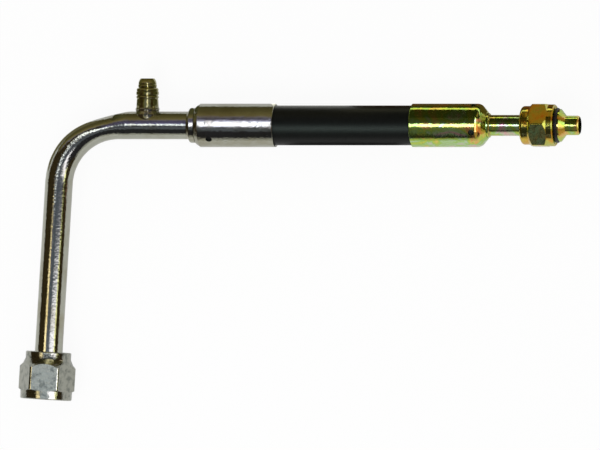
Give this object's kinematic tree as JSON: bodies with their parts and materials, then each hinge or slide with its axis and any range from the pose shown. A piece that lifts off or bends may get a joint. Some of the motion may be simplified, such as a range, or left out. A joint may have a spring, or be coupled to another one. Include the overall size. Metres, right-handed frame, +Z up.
{
  "type": "hydraulic hose assembly",
  "caption": "Rubber hose held by ferrules between a straight swivel-nut fitting and a bent tube fitting that has a valved service port and a swivel nut.",
  "frame": {"origin": "centre of the straight fitting's pilot, where it leaves the cone of its seal flange", "axes": "+X along the hose and out of the straight fitting, +Y the way the service port points, +Z up, square to the plane that both fittings lie in"},
  "size_m": [0.3283, 0.1847, 0.0296],
  "materials": {
    "cover_rubber": "matt black synthetic rubber",
    "liner_rubber": "smooth black synthetic rubber",
    "braid_fabric": "cream polyester braid",
    "barrier_nylon": "translucent nylon",
    "nickel_steel": "bright nickel plate on steel",
    "zinc_steel": "yellow passivated zinc plate on steel",
    "braze_filler": "plated brazing filler",
    "seal_rubber": "smooth black nitrile rubber",
    "core_brass": "turned brass",
    "spring_steel": "bright spring wire"
  },
  "bodies": {
    "hose_and_tubes": {"hose_cover": "cover_rubber", "hose_backing": "liner_rubber", "hose_inner_tube": "liner_rubber", "hose_braid": "braid_fabric", "hose_barrier": "barrier_nylon", "left_tube": "nickel_steel", "left_stem": "nickel_steel", "left_ferrule": "nickel_steel", "service_port_body": "nickel_steel", "right_tube": "zinc_steel", "right_stem": "zinc_steel", "right_ferrule": "zinc_steel", "left_stem_braze": "braze_filler", "right_stem_braze": "braze_filler", "service_port_braze": "braze_filler", "left_o_ring": "seal_rubber", "right_o_ring": "seal_rubber", "valve_core_gasket": "seal_rubber", "valve_core_shell": "core_brass", "valve_core_spring": "spring_steel"},
    "left_swivel_nut": {"left_nut": "nickel_steel"},
    "right_swivel_nut": {"right_nut": "zinc_steel"},
    "valve_pin": {"valve_core_pin": "core_brass", "valve_core_seal": "seal_rubber"}
  },
  "joints": [
    {"name": "left_nut_turn", "type": "hinge", "parent": "hose_and_tubes", "child": "left_swivel_nut", "pos_m": [-0.30352, -0.13694, 0], "axis": [-0.0621, -0.9981, 0], "continuous": true},
    {"name": "right_nut_turn", "type": "hinge", "parent": "hose_and_tubes", "child": "right_swivel_nut", "pos_m": [-0.0152, 0, 0], "axis": [1, 0, 0], "continuous": true},
    {"name": "valve_pin_press", "type": "slide", "parent": "hose_and_tubes", "child": "valve_pin", "axis": [0, -1, 0], "range_m": [0, 0.0016], "stiffness_N_per_m": 2500, "springref_m": -0.0012, "deforming": ["valve_core_spring"]}
  ]
}
